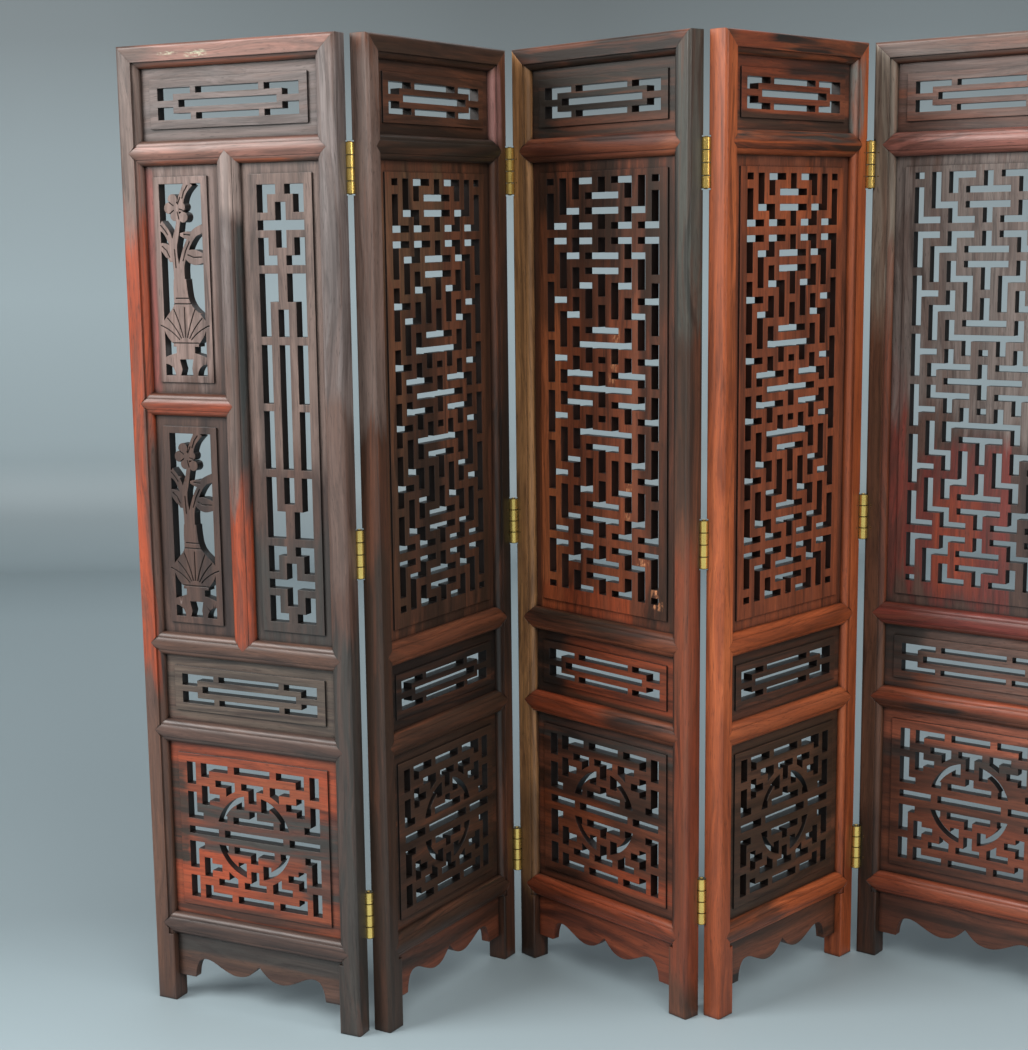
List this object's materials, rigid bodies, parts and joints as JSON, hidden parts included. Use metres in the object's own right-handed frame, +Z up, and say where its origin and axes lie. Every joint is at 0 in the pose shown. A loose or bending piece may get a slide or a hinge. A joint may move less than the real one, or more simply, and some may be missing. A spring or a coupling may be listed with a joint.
{
  "type": "folding screen",
  "caption": "Zigzag folding screen of framed hardwood panels with pierced fret boards, flower vase boards and scalloped aprons, joined by brass knuckle hinges and standing on its own feet.",
  "frame": {"origin": "middle of the bounding box at the floor, under the zigzag in its rest pose", "axes": "+X to the right along the row of panels, +Y away from the carved front, +Z up"},
  "size_m": [0.4684, 0.103, 0.4],
  "materials": {
    "rosewood_plum": "polished",
    "rosewood_dark": "polished",
    "rosewood_brown": "polished",
    "rosewood_red": "polished",
    "hinge_brass": "polished",
    "pin_brass": "polished",
    "brad_brass": "aged"
  },
  "bodies": {
    "panel_1": {"panel_1_stiles": "rosewood_plum", "panel_1_rails": "rosewood_plum", "panel_1_post": "rosewood_plum", "panel_1_short_rail": "rosewood_plum", "panel_1_friezes": "rosewood_plum", "panel_1_lattice": "rosewood_plum", "panel_1_vase_boards": "rosewood_plum", "panel_1_medallion": "rosewood_plum", "panel_1_apron": "rosewood_plum", "panel_1_hinge_leaves": "hinge_brass", "panel_1_brads": "brad_brass", "hinge_pins_1_2": "pin_brass"},
    "panel_2": {"panel_2_stiles": "rosewood_dark", "panel_2_rails": "rosewood_dark", "panel_2_friezes": "rosewood_dark", "panel_2_lattice": "rosewood_dark", "panel_2_medallion": "rosewood_dark", "panel_2_apron": "rosewood_dark", "panel_2_hinge_leaves": "hinge_brass", "panel_2_brads": "brad_brass", "hinge_pins_2_3": "pin_brass"},
    "panel_3": {"panel_3_stiles": "rosewood_brown", "panel_3_rails": "rosewood_brown", "panel_3_friezes": "rosewood_brown", "panel_3_lattice": "rosewood_brown", "panel_3_medallion": "rosewood_brown", "panel_3_apron": "rosewood_brown", "panel_3_hinge_leaves": "hinge_brass", "panel_3_brads": "brad_brass", "hinge_pins_3_4": "pin_brass"},
    "panel_4": {"panel_4_stiles": "rosewood_red", "panel_4_rails": "rosewood_red", "panel_4_friezes": "rosewood_dark", "panel_4_lattice": "rosewood_dark", "panel_4_medallion": "rosewood_dark", "panel_4_apron": "rosewood_dark", "panel_4_hinge_leaves": "hinge_brass", "panel_4_brads": "brad_brass", "hinge_pins_4_5": "pin_brass"},
    "panel_5": {"panel_5_stiles": "rosewood_plum", "panel_5_rails": "rosewood_plum", "panel_5_friezes": "rosewood_plum", "panel_5_lattice": "rosewood_plum", "panel_5_medallion": "rosewood_plum", "panel_5_apron": "rosewood_plum", "panel_5_hinge_leaves": "hinge_brass", "panel_5_brads": "brad_brass", "hinge_pins_5_6": "pin_brass"},
    "panel_6": {"panel_6_stiles": "rosewood_plum", "panel_6_rails": "rosewood_plum", "panel_6_post": "rosewood_plum", "panel_6_short_rail": "rosewood_plum", "panel_6_friezes": "rosewood_plum", "panel_6_lattice": "rosewood_plum", "panel_6_vase_boards": "rosewood_plum", "panel_6_medallion": "rosewood_plum", "panel_6_apron": "rosewood_plum", "panel_6_hinge_leaves": "hinge_brass", "panel_6_brads": "brad_brass"}
  },
  "joints": [
    {"name": "fold_1_2", "type": "hinge", "parent": "panel_2", "child": "panel_1", "pos_m": [-0.14023, -0.04378, 0.2], "axis": [0, 0, 1], "range_deg": [-96, 84]},
    {"name": "fold_2_3", "type": "hinge", "parent": "panel_3", "child": "panel_2", "pos_m": [-0.07686, 0.03604, 0.2], "axis": [0, 0, -1], "range_deg": [-73.6, 106.4]},
    {"name": "fold_3_4", "type": "hinge", "parent": "panel_3", "child": "panel_4", "pos_m": [-0.00276, -0.03392, 0.2], "axis": [0, 0, -1], "range_deg": [-85, 95]},
    {"name": "fold_4_5", "type": "hinge", "parent": "panel_4", "child": "panel_5", "pos_m": [0.07513, 0.0318, 0.2], "axis": [0, 0, 1], "range_deg": [-95.6, 84.4]},
    {"name": "fold_5_6", "type": "hinge", "parent": "panel_5", "child": "panel_6", "pos_m": [0.16083, -0.02334, 0.2], "axis": [0, 0, -1], "range_deg": [-93, 87]}
  ]
}
